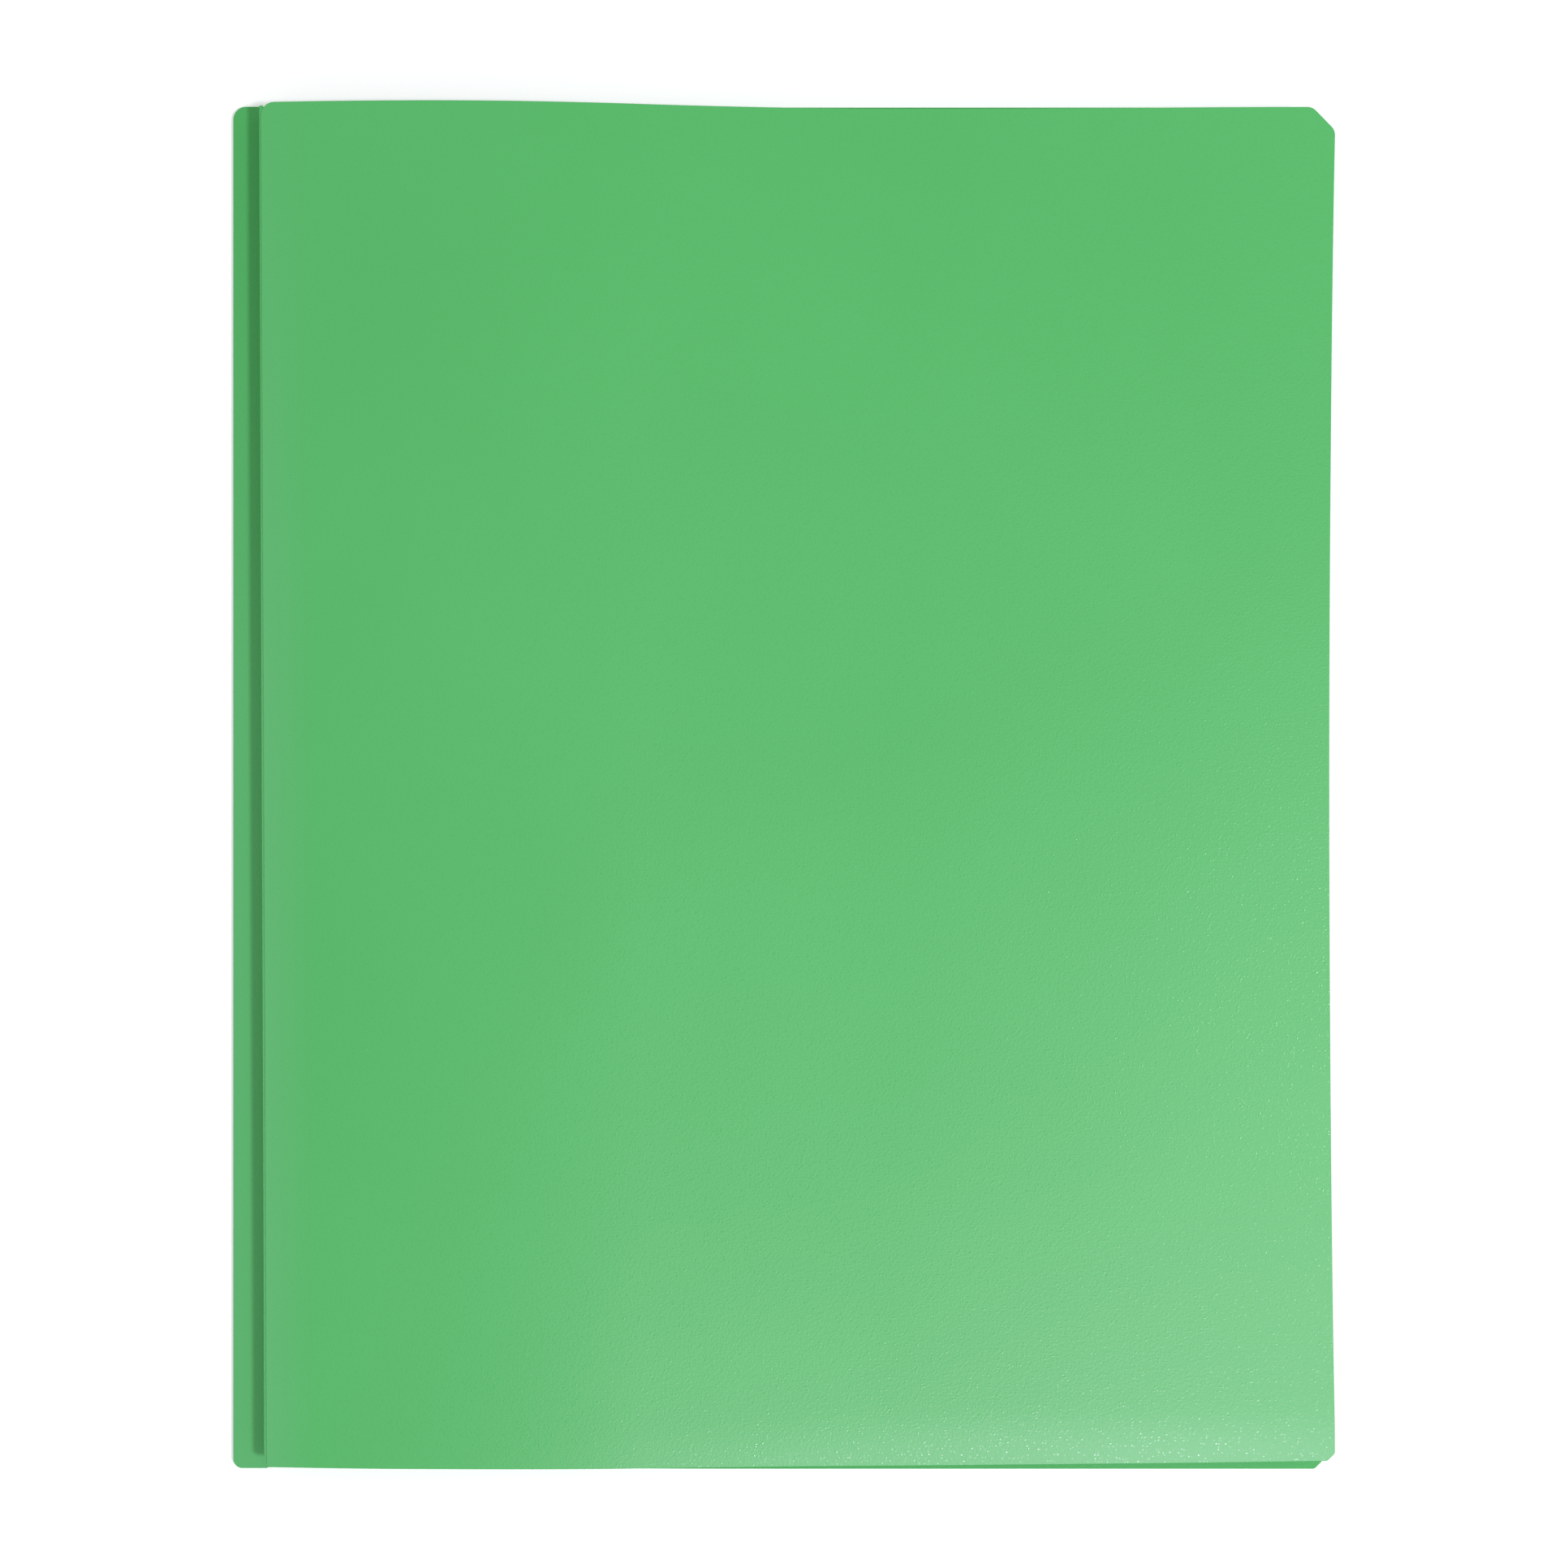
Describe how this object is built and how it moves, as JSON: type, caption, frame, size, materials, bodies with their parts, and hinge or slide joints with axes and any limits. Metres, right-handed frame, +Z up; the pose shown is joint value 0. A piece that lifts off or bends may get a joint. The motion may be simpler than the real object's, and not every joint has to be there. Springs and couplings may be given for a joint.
{
  "type": "stamp album",
  "caption": "Slim stamp album: a green plastic cover with a creased spine, over black stock leaves with clear strips held by bent metal tangs.",
  "frame": {"origin": "middle of the footprint, on the surface that the back cover lies on", "axes": "+X from the spine to the fore-edge, +Y from the foot to the head, +Z up out of the front cover"},
  "size_m": [0.237, 0.295, 0.01],
  "materials": {
    "cover_sheet": "sand-embossed polypropylene",
    "pocket_sheet": "smooth polypropylene",
    "holder_plastic": "smooth polypropylene",
    "tang_metal": "tin-plated steel",
    "card": "black card",
    "tape": "black book cloth",
    "film": "clear film"
  },
  "bodies": {
    "base": {"back_cover": "cover_sheet", "spine_weld_strip": "cover_sheet", "back_pocket": "pocket_sheet", "fastener_holder": "holder_plastic", "tang_bottom": "tang_metal", "tang_middle": "tang_metal", "tang_top": "tang_metal", "leaf_1_binding_strip": "card", "leaf_2_binding_strip": "card", "leaf_3_binding_strip": "card", "leaf_4_binding_strip": "card", "leaf_5_binding_strip": "card", "leaf_6_binding_strip": "card"},
    "spine": {"spine_panel": "cover_sheet"},
    "cover": {"front_cover": "cover_sheet", "front_pocket": "pocket_sheet"},
    "leaf_1": {"leaf_1_card": "card", "leaf_1_hinge_tape": "tape", "leaf_1_front_strips": "film", "leaf_1_back_strips": "film"},
    "leaf_2": {"leaf_2_card": "card", "leaf_2_hinge_tape": "tape", "leaf_2_front_strips": "film", "leaf_2_back_strips": "film"},
    "leaf_3": {"leaf_3_card": "card", "leaf_3_hinge_tape": "tape", "leaf_3_front_strips": "film", "leaf_3_back_strips": "film"},
    "leaf_4": {"leaf_4_card": "card", "leaf_4_hinge_tape": "tape", "leaf_4_front_strips": "film", "leaf_4_back_strips": "film"},
    "leaf_5": {"leaf_5_card": "card", "leaf_5_hinge_tape": "tape", "leaf_5_front_strips": "film", "leaf_5_back_strips": "film"},
    "leaf_6": {"leaf_6_card": "card", "leaf_6_hinge_tape": "tape", "leaf_6_front_strips": "film", "leaf_6_back_strips": "film"}
  },
  "joints": [
    {"name": "back_crease", "type": "hinge", "parent": "base", "child": "spine", "pos_m": [-0.112, 0, 0.00125], "axis": [0, -1, 0], "range_deg": [0, 99.21]},
    {"name": "front_crease", "type": "hinge", "parent": "spine", "child": "cover", "pos_m": [-0.1108, 0, 0.00865], "axis": [0, -1, 0], "range_deg": [0, 80.79]},
    {"name": "leaf_1_turn", "type": "hinge", "parent": "base", "child": "leaf_1", "pos_m": [-0.0857, 0, 0.0054], "axis": [0, -1, 0], "range_deg": [0, 178], "deforming": ["leaf_1_hinge_tape"]},
    {"name": "leaf_2_turn", "type": "hinge", "parent": "base", "child": "leaf_2", "pos_m": [-0.0857, 0, 0.0054], "axis": [0, -1, 0], "range_deg": [0, 176.5], "deforming": ["leaf_2_hinge_tape"]},
    {"name": "leaf_3_turn", "type": "hinge", "parent": "base", "child": "leaf_3", "pos_m": [-0.0857, 0, 0.0054], "axis": [0, -1, 0], "range_deg": [0, 175], "deforming": ["leaf_3_hinge_tape"]},
    {"name": "leaf_4_turn", "type": "hinge", "parent": "base", "child": "leaf_4", "pos_m": [-0.0857, 0, 0.0054], "axis": [0, -1, 0], "range_deg": [0, 173.5], "deforming": ["leaf_4_hinge_tape"]},
    {"name": "leaf_5_turn", "type": "hinge", "parent": "base", "child": "leaf_5", "pos_m": [-0.0857, 0, 0.0054], "axis": [0, -1, 0], "range_deg": [0, 172], "deforming": ["leaf_5_hinge_tape"]},
    {"name": "leaf_6_turn", "type": "hinge", "parent": "base", "child": "leaf_6", "pos_m": [-0.0857, 0, 0.0054], "axis": [0, -1, 0], "range_deg": [0, 170.5], "deforming": ["leaf_6_hinge_tape"]}
  ],
  "couplings": [
    {"joint": "front_crease", "follows": "back_crease", "ratio": 0.81432},
    {"joint": "leaf_1_turn", "follows": "back_crease", "ratio": 1.7942},
    {"joint": "leaf_2_turn", "follows": "back_crease", "ratio": 1.779},
    {"joint": "leaf_3_turn", "follows": "back_crease", "ratio": 1.7639},
    {"joint": "leaf_4_turn", "follows": "back_crease", "ratio": 1.7488},
    {"joint": "leaf_5_turn", "follows": "back_crease", "ratio": 1.7337},
    {"joint": "leaf_6_turn", "follows": "back_crease", "ratio": 1.7186}
  ]
}
